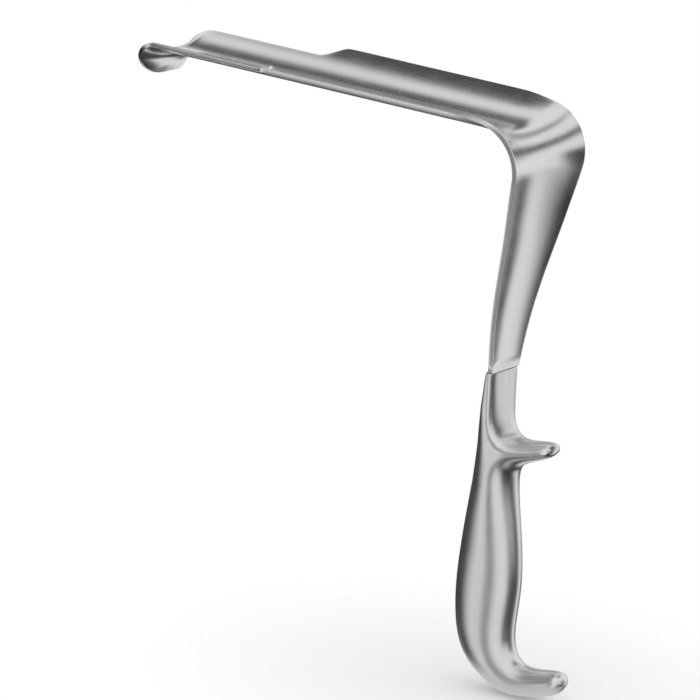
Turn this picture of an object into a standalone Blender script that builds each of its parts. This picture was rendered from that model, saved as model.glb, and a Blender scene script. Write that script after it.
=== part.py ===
"""Pelvic retractor: a pressed steel blade whose tang is brazed into a hollow handle of two half shells.

Lengths are in metres. X runs from the blade's lip (minus) to the tips of the finger rest and the butt hook
(plus), Y runs across the blade and Z runs up the handle. The origin is the middle of the grip.
"""
import math

import bmesh
import bpy
import numpy as np

MM = 0.001

# Sheet of the blade and walls of the handle
SHEET = 2.0 * MM
WALL = 0.9 * MM
GAP = 0.3 * MM
EDGE_ROUNDING = 0.6 * MM

# Blade, measured along the middle of the sheet
BLADE_WIDTH = 60.0 * MM
TIP_WIDTH = 45.0 * MM
BLADE_LENGTH = 160.8 * MM
GUTTER_RADIUS = 57.0 * MM
SHOULDER_START = 51.8 * MM
SHOULDER_LENGTH = 11.0 * MM
LIP_RADIUS = 6.9 * MM
LIP_ANGLE = math.radians(106.4)
LIP_FLAT = 2.0 * MM
TIP_ROUNDING = 19.2 * MM
TIP_POWER = 2.46

# Bend and stem
BEND_RADIUS = 14.1 * MM
BEND_ANGLE = math.radians(98.0)
STEM_LENGTH = 83.2 * MM
STEM_TURN_BACK = math.radians(6.3)
STEM_TOP_WIDTH = 54.2 * MM
STEM_WAIST = 1.4 * MM
STEM_GUTTER_RADIUS = 104.0 * MM
CORNER_SOFTNESS = 5.5 * MM
NECK_WIDTH = 21.8 * MM
NECK_FLAT = 8.0 * MM
NECK_GUTTER_RADIUS = 75.0 * MM
STRAIGHT_EDGES_START = 20.0 * MM
GUTTER_FADE_START = 54.0 * MM

# Tang inside the handle's mouth, with the brazed joint between shoulder and rim
TANG_LENGTH = 24.0 * MM
TANG_THICKNESS = 1.1 * MM
TANG_STEP = 1.8 * MM
BRAZE_HEIGHT = 0.5 * MM

# Handle: places measured from the middle of the grip
MOUTH_X = -5.5 * MM
MOUTH_Z = 78.0 * MM
MOUTH_WIDTH = 22.0 * MM
GRIP_FRONT = -14.4 * MM
GRIP_BACK = 13.5 * MM
GRIP_WIDTH = 19.6 * MM
CROOK_Z = 51.5 * MM
REST_TIP_X = 23.8 * MM
REST_TIP_Z = 51.0 * MM
REST_WIDTH = 13.0 * MM
REST_ROOT_X = 7.0 * MM
REST_ROOT_Z = 35.2 * MM
HOOK_TIP_X = 40.6 * MM
HOOK_TIP_Z = -44.5 * MM
HOOK_ROOT_Z = -41.2 * MM
HOOK_WIDTH = 12.0 * MM
BUTT_Z = -54.2 * MM
BUTT_WIDTH = 18.0 * MM
MOUTH_FLARE = 0.8 * MM
PARTING_LAND = 0.4 * MM

# Where the handle's width changes from one part of it to the next
NECK_ABOVE_CROOK = 8.0 * MM
NECK_BELOW_REST = 15.0 * MM
REST_FLARE_X = 2.7 * MM
REST_FLARE_RISE = 4.0 * MM
HOOK_FLARE_X = 5.5 * MM
HOOK_FLARE_Z = -26.0 * MM
BUTT_SWELL_Z = -12.0 * MM

# Mesh fineness
BLADE_COLUMNS = 10
SHELL_ROWS = 46
ROUND_STEPS = 4
MIDDLE_STEPS = 3
MOST_ROUNDED = 0.8
LONGEST_REACH = 0.35
BACK_REACH = 1.2
BORDER_BLEND = 6.0
SMALLEST = 1e-6

# Where the shell's rows lie closer: place on the back outline, reach along it and how much closer
CLOSER_ROWS = [(6.5, 1.1, 1.3), (14.0, 0.8, 0.8), (17.0, 0.9, 1.6)]


def ease(start, end, value):
    """Smooth step from 0 at start to 1 at end."""
    share = np.clip((value - start) / (end - start), 0.0, 1.0)
    return share * share * (3.0 - 2.0 * share)


def clear_scene():
    for item in list(bpy.data.objects):
        bpy.data.objects.remove(item, do_unlink=True)


def steel(name, colour, roughness):
    material = bpy.data.materials.new(name)
    material.use_nodes = True
    shader = material.node_tree.nodes["Principled BSDF"]
    shader.inputs["Base Color"].default_value = (*colour, 1.0)
    shader.inputs["Metallic"].default_value = 1.0
    shader.inputs["Roughness"].default_value = roughness
    return material


def apply_modifiers(item):
    graph = bpy.context.evaluated_depsgraph_get()
    finished = bpy.data.meshes.new_from_object(item.evaluated_get(graph))
    item.modifiers.clear()
    item.data = finished


def add_object(name, points, faces, material, collection):
    mesh = bpy.data.meshes.new(name)
    mesh.from_pydata(points, [], faces)
    mesh.validate()
    item = bpy.data.objects.new(name, mesh)
    collection.objects.link(item)
    mesh.materials.append(material)
    return item


def grid_faces(rows, wide):
    """Faces between the neighbouring rows of a grid of points."""
    faces = []
    for row in range(rows - 1):
        for column in range(wide - 1):
            corner = row * wide + column
            faces.append((corner, corner + wide, corner + wide + 1, corner + 1))
    return faces


# Blade

def lip_arc():
    return LIP_RADIUS * LIP_ANGLE


def bend_end():
    return BLADE_LENGTH + BEND_RADIUS * BEND_ANGLE


def stem_end():
    return bend_end() + STEM_LENGTH


def arc_step(x, z, angle, turn, length):
    """End of an arc that leaves (x, z) at a downward angle and turns on by the given angle."""
    if abs(turn) < 1e-9:
        return x + length * math.cos(angle), z - length * math.sin(angle)
    radius = length / turn
    over = angle + turn
    return (x + radius * (math.sin(over) - math.sin(angle)),
            z + radius * (math.cos(over) - math.cos(angle)))


def centre_line(place):
    """Point and downward angle of the sheet's middle; place 0 is where the lip's bend ends."""
    if place < 0.0:
        run = -place
        over = min(run / LIP_RADIUS, LIP_ANGLE)
        x = -BLADE_LENGTH - LIP_RADIUS * math.sin(over)
        z = -LIP_RADIUS * (1.0 - math.cos(over))
        rest = max(run - lip_arc(), 0.0)
        return x - rest * math.cos(over), z - rest * math.sin(over), -over
    if place <= BLADE_LENGTH:
        return place - BLADE_LENGTH, 0.0, 0.0
    turned = min((place - BLADE_LENGTH) / BEND_RADIUS, BEND_ANGLE)
    x, z = arc_step(0.0, 0.0, 0.0, turned, BEND_RADIUS * turned)
    curved = STEM_LENGTH - NECK_FLAT
    run = min(max(place - bend_end(), 0.0), curved)
    back = -STEM_TURN_BACK * run / curved
    x, z = arc_step(x, z, turned, back, run)
    straight = max(place - bend_end() - curved, 0.0)
    angle = turned + back
    return x + straight * math.cos(angle), z - straight * math.sin(angle), angle


def half_width(place):
    """Half the developed outline's width: rounded tip, shoulders, bend corner, tapering stem."""
    start = -lip_arc() - LIP_FLAT
    share = min((place - start) / TIP_ROUNDING, 1.0)
    tongue = (1.0 - (1.0 - share) ** TIP_POWER) ** (1.0 / TIP_POWER)
    wide = TIP_WIDTH / 2 * tongue
    wide += (BLADE_WIDTH - TIP_WIDTH) / 2 * ease(SHOULDER_START, SHOULDER_START + SHOULDER_LENGTH, place)
    down = (place - bend_end()) / STEM_LENGTH
    inside = min(max(down, 0.0), 1.0)
    taper = STEM_TOP_WIDTH + (NECK_WIDTH - STEM_TOP_WIDTH) * down
    taper = taper / 2 - STEM_WAIST * 2.0 * inside * (1.0 - inside)
    soft = max(CORNER_SOFTNESS - abs(wide - taper), 0.0)
    return min(wide, taper) - soft ** 2 / (4.0 * CORNER_SOFTNESS)


def gutter_curvature(place):
    """Curvature across the sheet; it fades out above the flat neck."""
    bend_start = BLADE_LENGTH - BEND_RADIUS
    flat_start = stem_end() - NECK_FLAT
    change = ease(bend_start, bend_end(), place)
    down = np.clip((place - bend_end()) / (flat_start - bend_end()), 0.0, 1.0)
    curvature = 1.0 / GUTTER_RADIUS + (1.0 / STEM_GUTTER_RADIUS - 1.0 / GUTTER_RADIUS) * change
    curvature += (1.0 / NECK_GUTTER_RADIUS - 1.0 / STEM_GUTTER_RADIUS) * down
    return curvature * (1.0 - ease(bend_end() + GUTTER_FADE_START, flat_start, place))


def blade_places():
    """Where the cross rows of the blade lie: close together at the lip, the shoulders and the bend."""
    tip = -lip_arc() - LIP_FLAT
    places = [tip + TIP_ROUNDING * 0.5 * share ** 2 for share in (0.08, 0.2, 0.38)]
    places += list(np.linspace(-lip_arc() + 0.4 * MM, 0.0, 9))
    places += list(np.linspace(0.0, SHOULDER_START, 5)[1:])
    places += list(np.linspace(SHOULDER_START, SHOULDER_START + SHOULDER_LENGTH, 6)[1:])
    places += list(np.linspace(SHOULDER_START + SHOULDER_LENGTH, BLADE_LENGTH - BEND_RADIUS, 4)[1:])
    places += list(np.linspace(BLADE_LENGTH - BEND_RADIUS, BLADE_LENGTH, 4)[1:])
    places += list(np.linspace(BLADE_LENGTH, bend_end(), 11)[1:])
    places += list(np.linspace(bend_end(), stem_end() - NECK_FLAT, 12)[1:])
    return sorted(places)


def blade_row(place, half, thick_side, origin):
    """One row of the sheet's convex side, across the gutter; half is measured at that side's edges."""
    x, z, angle = centre_line(place)
    curvature = max(gutter_curvature(place), SMALLEST)
    half /= 1.0 + curvature * thick_side
    lean = math.asin(curvature * half) * np.linspace(-1.0, 1.0, BLADE_COLUMNS + 1)
    rise = (1.0 - np.cos(lean)) / curvature
    straight_edges = ease(bend_end() + STRAIGHT_EDGES_START, stem_end() - NECK_FLAT, place)
    out = rise - rise[0] * straight_edges - thick_side * np.cos(lean)
    y = np.sin(lean) / curvature + thick_side * np.sin(lean)
    return list(zip(origin[0] + x + math.sin(angle) * out, y, origin[1] + z + math.cos(angle) * out))


def blade_origin():
    """Where the bend's start lies, so that the stem's front face meets the handle's mouth."""
    x, z, angle = centre_line(stem_end())
    return (MOUTH_X - x + SHEET / 2 * math.sin(angle), MOUTH_Z - z)


def build_blade(collection):
    material = steel("satin steel blade", (0.62, 0.63, 0.65), 0.3)
    origin = blade_origin()
    shoulder = stem_end() - BRAZE_HEIGHT - 2.0 * GAP
    places = blade_places() + [shoulder]
    rows = [blade_row(place, half_width(place), SHEET / 2, origin) for place in places]
    tang_half = NECK_WIDTH / 2 - TANG_STEP
    tang_start = len(rows)
    for place in (shoulder + 0.05 * MM, stem_end() + TANG_LENGTH):
        rows.append(blade_row(place, tang_half, SHEET / 2, origin))
    points = [point for row in rows for point in row]
    wide = BLADE_COLUMNS + 1
    blade = add_object("blade", points, grid_faces(len(rows), wide), material, collection)
    thin = blade.vertex_groups.new(name="sheet thickness")
    thin.add(list(range(tang_start * wide)), 1.0, "REPLACE")
    thin.add(list(range(tang_start * wide, len(points))), TANG_THICKNESS / SHEET, "REPLACE")
    thicken = blade.modifiers.new("sheet", "SOLIDIFY")
    thicken.thickness = SHEET
    thicken.offset = 1.0
    thicken.use_even_offset = False
    thicken.vertex_group = thin.name
    rounding = blade.modifiers.new("rounded edges", "BEVEL")
    rounding.width = EDGE_ROUNDING
    rounding.segments = 2
    rounding.limit_method = "ANGLE"
    rounding.angle_limit = math.radians(60.0)
    apply_modifiers(blade)
    turn_outwards(blade)
    blade.data.shade_smooth()
    return blade


def turn_outwards(item):
    """Make all faces point out of the solid."""
    mesh = bmesh.new()
    mesh.from_mesh(item.data)
    bmesh.ops.remove_doubles(mesh, verts=mesh.verts, dist=0.002 * MM)
    bmesh.ops.recalc_face_normals(mesh, faces=mesh.faces)
    mesh.to_mesh(item.data)
    mesh.free()


# Handle: the outlines in side view give x, z, the depth of the rounding and its squareness (2 is an ellipse)

def back_outline():
    """Back of the handle in side view, from the mouth to the hook's tip."""
    return [
        (MOUTH_X + TANG_THICKNESS + GAP + WALL, MOUTH_Z, 1.7 * MM, 7.0),
        (-1.5 * MM, CROOK_Z + 9.6 * MM, 1.9 * MM, 6.5),
        (0.3 * MM, CROOK_Z + 3.4 * MM, 2.4 * MM, 6.0),
        (3.4 * MM, CROOK_Z + 0.5 * MM, 3.2 * MM, 5.5),
        (9.5 * MM, CROOK_Z - 0.2 * MM, 3.4 * MM, 5.0),
        (REST_TIP_X - 3.6 * MM, REST_TIP_Z + 2.1 * MM, 3.0 * MM, 4.0),
        (REST_TIP_X - 0.4 * MM, REST_TIP_Z + 1.2 * MM, 2.8 * MM, 3.0),
        (REST_TIP_X - 0.3 * MM, REST_TIP_Z - 2.0 * MM, 2.8 * MM, 2.6),
        (REST_TIP_X - 7.2 * MM, REST_TIP_Z - 6.3 * MM, 3.6 * MM, 2.3),
        (REST_ROOT_X + 1.7 * MM, REST_ROOT_Z + 5.0 * MM, 7.0 * MM, 2.0),
        (REST_ROOT_X, REST_ROOT_Z, 9.0 * MM, 2.0),
        (GRIP_BACK - 3.0 * MM, 15.1 * MM, 12.0 * MM, 2.0),
        (GRIP_BACK + 0.5 * MM, -11.6 * MM, 13.5 * MM, 2.0),
        (GRIP_BACK + 0.4 * MM, HOOK_ROOT_Z + 8.8 * MM, 12.0 * MM, 2.0),
        (GRIP_BACK + 5.8 * MM, HOOK_ROOT_Z, 7.5 * MM, 2.0),
        (HOOK_TIP_X - 8.2 * MM, HOOK_ROOT_Z + 0.7 * MM, 5.5 * MM, 2.0),
        (HOOK_TIP_X - 1.8 * MM, HOOK_TIP_Z + 3.7 * MM, 4.6 * MM, 2.0),
        (HOOK_TIP_X, HOOK_TIP_Z, 4.5 * MM, 2.0),
    ]


def front_outline():
    """Front and underside of the handle, from the mouth to the hook's tip."""
    return [
        (MOUTH_X - GAP - WALL - MOUTH_FLARE, MOUTH_Z, 1.7 * MM, 7.0),
        (GRIP_FRONT + 5.7 * MM, 63.5 * MM, 3.0 * MM, 4.5),
        (GRIP_FRONT + 4.3 * MM, 47.8 * MM, 7.0 * MM, 2.6),
        (GRIP_FRONT + 2.5 * MM, 31.0 * MM, 11.0 * MM, 2.0),
        (GRIP_FRONT + 0.2 * MM, 3.3 * MM, 14.0 * MM, 2.0),
        (GRIP_FRONT + 1.0 * MM, -24.5 * MM, 12.5 * MM, 2.0),
        (GRIP_FRONT + 9.2 * MM, BUTT_Z + 9.9 * MM, 10.5 * MM, 2.0),
        (GRIP_FRONT + 25.8 * MM, BUTT_Z + 0.4 * MM, 7.0 * MM, 2.0),
        (HOOK_TIP_X - 20.2 * MM, BUTT_Z, 6.3 * MM, 2.0),
        (HOOK_TIP_X - 4.0 * MM, HOOK_TIP_Z - 5.2 * MM, 5.0 * MM, 2.0),
        (HOOK_TIP_X, HOOK_TIP_Z, 4.5 * MM, 2.0),
    ]


def spline(outline, per_span=12):
    """Smooth curve through the outline's points; returns its points and the place of each along the outline."""
    given = np.array(outline)
    step = np.sqrt(np.linalg.norm(np.diff(given[:, :2], axis=0), axis=1))
    count = len(given)
    system = np.eye(count)
    right = np.zeros(given.shape)
    for row in range(1, count - 1):
        before = step[row - 1]
        after = step[row]
        system[row, row - 1:row + 2] = (before, 2.0 * (before + after), after)
        right[row] = 6.0 * ((given[row + 1] - given[row]) / after - (given[row] - given[row - 1]) / before)
    bend = np.linalg.solve(system, right)
    places = np.linspace(0.0, count - 1.0, per_span * (count - 1) + 1)
    span = np.minimum(places.astype(int), count - 2)
    late = (places - span)[:, None]
    early = 1.0 - late
    straight = early * given[span] + late * given[span + 1]
    lift = (early ** 3 - early) * bend[span] + (late ** 3 - late) * bend[span + 1]
    curve = straight + lift * step[span][:, None] ** 2 / 6.0
    curve[:, 2:] = straight[:, 2:]
    return curve, places


def shell_half_width(x, z):
    """Half the handle's width at places of its side view."""
    neck_low = ease(-(CROOK_Z + NECK_ABOVE_CROOK), -(REST_ROOT_Z - NECK_BELOW_REST), -z)
    width = MOUTH_WIDTH + (GRIP_WIDTH - MOUTH_WIDTH) * neck_low
    width = width + (BUTT_WIDTH - GRIP_WIDTH) * ease(-BUTT_SWELL_Z, -BUTT_Z, -z)
    out_to_rest = ease(REST_FLARE_X, REST_TIP_X, x)
    up_to_rest = ease(REST_ROOT_Z - 2.0 * REST_FLARE_RISE, REST_ROOT_Z + REST_FLARE_RISE, z)
    width = width + (REST_WIDTH - width) * out_to_rest * up_to_rest
    out_to_hook = ease(HOOK_FLARE_X, HOOK_TIP_X, x)
    down_to_hook = ease(-HOOK_FLARE_Z, -HOOK_ROOT_Z, -z)
    width = width + (HOOK_WIDTH - width) * out_to_hook * down_to_hook
    return width / 2


def height_over(places, borders):
    """Height of the pressed shell over the middle plane at places of the side view.

    Every border rounds the shell off over its own depth, with its own squareness, and the nearer one counts most.
    """
    nearness = 0.0
    squareness = 0.0
    for border in borders:
        step = np.diff(border, axis=0)
        apart = places[:, None, :] - border[None, :-1, :2]
        along = (apart * step[:, :2]).sum(axis=2) / (step[:, :2] ** 2).sum(axis=1)
        nearest = border[:-1] + np.clip(along, 0.0, 1.0)[:, :, None] * step
        away = np.linalg.norm(places[:, None, :] - nearest[:, :, :2], axis=2) / nearest[:, :, 2]
        best = away.argmin(axis=1)
        chosen = np.arange(len(places))
        weight = np.maximum(away[chosen, best], SMALLEST) ** -BORDER_BLEND
        nearness = nearness + weight
        squareness = squareness + weight * nearest[chosen, best, 3]
    inward = np.minimum(nearness ** (-1.0 / BORDER_BLEND), 1.0)
    rounding = (1.0 - (1.0 - inward) ** 2) ** (nearness / squareness)
    return GAP / 2 + (shell_half_width(places[:, 0], places[:, 1]) - GAP / 2) * rounding


# Which place of the front outline faces which place of the back outline
FACING = [(0.0, 0.0), (1.0, 0.85), (2.0, 1.35), (3.0, 1.4), (4.0, 1.7), (5.0, 1.95), (6.5, 2.1), (8.0, 2.3),
          (9.0, 2.53), (10.0, 2.8), (11.0, 3.5), (12.0, 4.5), (13.0, 5.3), (14.0, 6.7), (15.0, 8.1),
          (16.0, 9.2), (17.0, 10.0)]
REST_TIP_PLACE = 6.5


def side_normals(curve, turn):
    along = np.gradient(curve[:, :2], axis=0)
    out = np.stack([along[:, 1], -along[:, 0]], axis=1) * turn
    return out / np.linalg.norm(out, axis=1)[:, None]


def at(places, values, place):
    return np.array([np.interp(place, places, values[:, axis]) for axis in range(values.shape[1])])


def row_shares(front_depth, back_depth, length):
    """Places across a row: close together in the two roundings, evenly spread between them."""
    total = front_depth + back_depth
    most = MOST_ROUNDED * length
    if total > most:
        front_depth *= most / total
        back_depth *= most / total
    turn = [1.0 - math.cos(math.pi / 2 * step / ROUND_STEPS) for step in range(ROUND_STEPS + 1)]
    shares = [front_depth * part / length for part in turn]
    span = 1.0 - (front_depth + back_depth) / length
    for step in range(1, MIDDLE_STEPS):
        shares.append(shares[ROUND_STEPS] + span * step / MIDDLE_STEPS)
    shares += [1.0 - back_depth * part / length for part in reversed(turn)]
    return shares


def row_places(back, places):
    """Places of the rows along the back outline, evenly spread by length but closer where it turns sharply."""
    length = np.concatenate([[0.0], np.cumsum(np.linalg.norm(np.diff(back[:, :2], axis=0), axis=1))])
    weight = 1.0
    for middle, reach, closer in CLOSER_ROWS:
        weight = weight + closer * np.exp(-((places - middle) / reach) ** 2)
    steps = np.diff(length) * 0.5 * (weight[1:] + weight[:-1])
    spread = np.concatenate([[0.0], np.cumsum(steps)])
    return np.interp(np.linspace(0.0, spread[-1], SHELL_ROWS), spread, places)


def shell_surface():
    """Side-view places and heights of the half shell's outer surface, in rows from the mouth to the hook's tip."""
    back, back_places = spline(back_outline())
    front, front_places = spline(front_outline())
    rest_tip = int(np.searchsorted(back_places, REST_TIP_PLACE))
    borders = (back[:rest_tip + 1], back[rest_tip:], front)
    back_out = side_normals(back, 1.0)
    front_out = side_normals(front, -1.0)
    pairs = np.array(FACING)
    rows = []
    for place in row_places(back, back_places)[:-1]:
        facing = float(np.interp(place, pairs[:, 0], pairs[:, 1]))
        end = at(back_places, back, place)
        start = at(front_places, front, facing)
        length = float(np.linalg.norm(end[:2] - start[:2]))
        reach = LONGEST_REACH * length
        leave = start[:2] + at(front_places, front_out, facing) * min(reach, start[2])
        arrive = end[:2] + at(back_places, back_out, place) * min(reach, BACK_REACH * end[2])
        share = np.array(row_shares(start[2], end[2], length))[:, None]
        rest = 1.0 - share
        row = rest ** 3 * start[:2] + 3 * rest ** 2 * share * leave
        rows.append(row + 3 * rest * share ** 2 * arrive + share ** 3 * end[:2])
    flat = np.array(rows)
    heights = height_over(flat.reshape(-1, 2), borders).reshape(flat.shape[:2])
    return flat, heights


def build_shell(name, side, collection):
    """One pressed half of the handle; side is -1 for the left half and 1 for the right half."""
    material = steel("satin steel " + name.replace("_", " "), (0.6, 0.61, 0.63), 0.3)
    flat, heights = shell_surface()
    edge = GAP / 2
    points = []
    for places, tall in zip(flat, heights):
        row = [(x, max(height, edge + PARTING_LAND), z) for (x, z), height in zip(places, tall)]
        row.insert(0, (places[0][0], edge, places[0][1]))
        row.append((places[-1][0], edge, places[-1][1]))
        points += row
    wide = len(heights[0]) + 2
    tip = len(points)
    points.append((HOOK_TIP_X, edge + PARTING_LAND, HOOK_TIP_Z))
    points.append((HOOK_TIP_X, edge, HOOK_TIP_Z))
    faces = grid_faces(len(heights), wide)
    last = (len(heights) - 1) * wide
    faces.append((last, last + 1, tip, tip + 1))
    for column in range(1, wide - 2):
        faces.append((last + column, last + column + 1, tip))
    faces.append((last + wide - 2, last + wide - 1, tip + 1, tip))
    shell = add_object(name, [(x, side * y, z) for x, y, z in points], faces, material, collection)
    turn_sheet(shell, side)
    thicken = shell.modifiers.new("wall", "SOLIDIFY")
    thicken.thickness = WALL
    thicken.offset = -1.0
    thicken.use_even_offset = False
    apply_modifiers(shell)
    turn_outwards(shell)
    shell.data.shade_smooth()
    return shell


def turn_sheet(item, side):
    """Turn an open sheet so that its normals point to its own side."""
    mesh = bmesh.new()
    mesh.from_mesh(item.data)
    bmesh.ops.recalc_face_normals(mesh, faces=mesh.faces)
    lean = sum(face.normal.y * face.calc_area() for face in mesh.faces)
    if lean * side < 0.0:
        bmesh.ops.reverse_faces(mesh, faces=mesh.faces)
    mesh.to_mesh(item.data)
    mesh.free()


def build_braze(collection):
    """Ring of brazing metal between the stem's shoulder and the mouth's rim."""
    material = steel("brazing metal", (0.72, 0.68, 0.6), 0.4)
    flat, heights = shell_surface()
    half = [(x, max(height, GAP / 2)) for x, height in zip(flat[0, :, 0], heights[0])]
    loop = half + [(x, -y) for x, y in reversed(half)]
    low = MOUTH_Z + GAP
    count = len(loop)
    points = [(x, y, low) for x, y in loop] + [(x, y, low + BRAZE_HEIGHT) for x, y in loop]
    faces = []
    for corner in range(count):
        after = (corner + 1) % count
        faces.append((corner, after, after + count, corner + count))
    ring = add_object("braze_ring", points, faces, material, collection)
    turn_outwards(ring)
    thicken = ring.modifiers.new("ring", "SOLIDIFY")
    thicken.thickness = WALL
    thicken.offset = -1.0
    apply_modifiers(ring)
    turn_outwards(ring)
    ring.data.shade_smooth()
    return ring


def build():
    clear_scene()
    collection = bpy.data.collections.new("pelvic retractor")
    bpy.context.scene.collection.children.link(collection)
    build_blade(collection)
    build_shell("handle_shell_left", -1.0, collection)
    build_shell("handle_shell_right", 1.0, collection)
    build_braze(collection)


build()
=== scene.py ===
"""Studio picture of the pelvic retractor: a satin steel blade brazed into a hollow two-part handle."""
import math

import bmesh
import bpy
import numpy as np
from mathutils import Matrix, Vector


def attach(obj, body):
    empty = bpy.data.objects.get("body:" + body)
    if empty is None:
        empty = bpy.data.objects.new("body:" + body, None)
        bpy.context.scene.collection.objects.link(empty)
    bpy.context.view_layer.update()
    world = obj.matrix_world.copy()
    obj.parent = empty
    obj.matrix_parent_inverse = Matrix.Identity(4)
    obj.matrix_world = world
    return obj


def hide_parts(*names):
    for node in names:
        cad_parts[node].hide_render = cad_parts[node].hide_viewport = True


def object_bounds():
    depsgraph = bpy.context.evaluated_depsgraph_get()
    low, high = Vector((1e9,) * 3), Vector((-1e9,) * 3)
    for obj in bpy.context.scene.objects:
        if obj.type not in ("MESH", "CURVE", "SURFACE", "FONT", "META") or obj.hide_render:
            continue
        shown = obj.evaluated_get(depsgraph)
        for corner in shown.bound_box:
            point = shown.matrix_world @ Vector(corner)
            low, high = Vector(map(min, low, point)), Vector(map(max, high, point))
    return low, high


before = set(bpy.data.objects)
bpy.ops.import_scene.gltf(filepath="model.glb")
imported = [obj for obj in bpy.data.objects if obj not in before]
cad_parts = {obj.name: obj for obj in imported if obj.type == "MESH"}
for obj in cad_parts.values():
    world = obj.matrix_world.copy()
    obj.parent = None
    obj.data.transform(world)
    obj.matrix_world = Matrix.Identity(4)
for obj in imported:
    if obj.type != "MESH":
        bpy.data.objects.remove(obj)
cad_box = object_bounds()

MM = 0.001

# Sheet of the blade and walls of the handle
SHEET = 2.0 * MM
WALL = 0.9 * MM
GAP = 0.3 * MM
EDGE_ROUNDING = 0.65 * MM

# Blade, measured along the middle of the sheet
BLADE_WIDTH = 60.0 * MM
TIP_WIDTH = 45.0 * MM
BLADE_LENGTH = 160.8 * MM
GUTTER_RADIUS = 57.0 * MM
SHOULDER_START = 51.8 * MM
SHOULDER_LENGTH = 11.0 * MM
LIP_RADIUS = 6.9 * MM
LIP_ANGLE = math.radians(106.4)
LIP_FLAT = 2.0 * MM
TIP_ROUNDING = 19.2 * MM
TIP_POWER = 2.46

# Bend and stem
BEND_RADIUS = 14.1 * MM
BEND_ANGLE = math.radians(98.0)
STEM_LENGTH = 83.2 * MM
STEM_TURN_BACK = math.radians(6.3)
STEM_TOP_WIDTH = 54.2 * MM
STEM_WAIST = 1.4 * MM
STEM_GUTTER_RADIUS = 104.0 * MM
CORNER_SOFTNESS = 5.5 * MM
NECK_WIDTH = 21.8 * MM
NECK_FLAT = 8.0 * MM
NECK_GUTTER_RADIUS = 52.0 * MM
STRAIGHT_EDGES_START = 20.0 * MM

# How the stem ends over the handle's mouth: its gutter runs out and its corners are tucked in
NECK_END = 0.5 * MM
NECK_FADE = 4.5 * MM
NECK_TUCK = 0.05
NECK_TUCK_FROM = 3.0 * MM

# Tang inside the handle's mouth, and the brazed seam over it: its fillet leans in to a loop a little slimmer
# than the neck, by a power of the height, and starts at a share of that height
TANG_THICKNESS = 1.1 * MM
SEAM_GAP = 0.15 * MM
SEAM_HEIGHT = 0.4 * MM
SEAM_BELOW_MOUTH = 0.15 * MM
SEAM_LEAN = 1.6
SEAM_LEAN_FROM = 0.15
SEAM_NECK_THINNER = 0.2 * MM
SEAM_NECK_NARROWER = 0.4 * MM
MOUTH_HALF_DEPTH = 2.5 * MM

# Handle: places measured from the middle of the grip
MOUTH_X = -5.5 * MM
MOUTH_Z = 78.0 * MM
MOUTH_WIDTH = 22.0 * MM
GRIP_FRONT = -14.4 * MM
GRIP_BACK = 13.5 * MM
GRIP_WIDTH = 19.6 * MM
CROOK_Z = 51.5 * MM
REST_TIP_X = 23.8 * MM
REST_TIP_Z = 51.0 * MM
REST_WIDTH = 13.0 * MM
REST_ROOT_X = 7.0 * MM
REST_ROOT_Z = 35.2 * MM
HOOK_TIP_X = 40.6 * MM
HOOK_TIP_Z = -44.5 * MM
HOOK_ROOT_Z = -41.2 * MM
HOOK_WIDTH = 12.0 * MM
BUTT_Z = -54.2 * MM
BUTT_WIDTH = 18.0 * MM
MOUTH_FLARE = 0.8 * MM
PARTING_LAND = 0.4 * MM
MOUTH_ROUNDING = 0.4 * MM

# How much deeper than its outline says the back of the handle rounds off, up to the rest's tip
CROWN_DEEPER = 1.4

# Where the handle's width changes from one part of it to the next
NECK_ABOVE_CROOK = 8.0 * MM
NECK_BELOW_REST = 15.0 * MM
REST_FLARE_X = 2.7 * MM
REST_FLARE_RISE = 4.0 * MM
HOOK_FLARE_X = 5.5 * MM
HOOK_FLARE_Z = -26.0 * MM
BUTT_SWELL_Z = -12.0 * MM

# Fineness of the shown meshes
BLADE_COLUMNS = 14
SHELL_ROWS = 170
ROUND_STEPS = 12
MIDDLE_STEPS = 9
MOST_ROUNDED = 0.8
LONGEST_REACH = 0.35
BACK_REACH = 1.2
BORDER_BLEND = 6.0
SMALLEST = 1e-6
EVENING_ROUNDS = 18
MOUTH_ROWS = 6
SEAM_ROWS = 6

# Where the shell's rows lie closer: place on the back outline, reach along it and how much closer
CLOSER_ROWS = [(6.5, 1.1, 1.3), (14.0, 0.8, 0.8), (17.0, 0.9, 1.6)]

# Edges: from which angle they are rounded or stay sharp, and from which curvature they are worn bright
RIM_ANGLE = math.radians(60.0)
SHARP_SHEET = math.radians(80.0)
SHARP_SEAM = math.radians(60.0)
WEAR_CURVATURE = 1.0 / (1.5 * MM)
SHORTEST_EDGE = 0.2 * MM
WELD_DISTANCE = 0.002 * MM

# Steels: colour, roughness and where their grain starts
SATIN_BLADE = ((0.66, 0.665, 0.67), 0.2, 0.31)
SATIN_HANDLE = ((0.66, 0.665, 0.67), 0.33, 0.77)
BRAZING_METAL = ((0.62, 0.615, 0.6), 0.32, 0.5)

# Grain of the finish: how many to the metre along and across a piece, and how fine the clouds, dents and
# specks are in all directions
GRAIN = (90.0, 1900.0, 1.0)
STROKES = (18.0, 420.0, 1.0)
CLOUDS = 110.0
DENTS = 420.0
SPECKS = 1300.0
RELIEF_DEPTH = 0.04 * MM
RELIEF_STRENGTH = 0.14
SMOOTHEST = 0.08
DULLEST = 0.6

# Camera: place, turn and focal length, fitted to the outline in the picture
CAMERA_PLACE = (1.083562, -1.919846, 0.666151)
CAMERA_TURN = (
    (0.837027, -0.222, 0.500101),
    (0.537699, 0.164497, -0.826934),
    (0.101314, 0.961071, 0.257058),
)
FOCAL_LENGTH = 291.16

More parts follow.
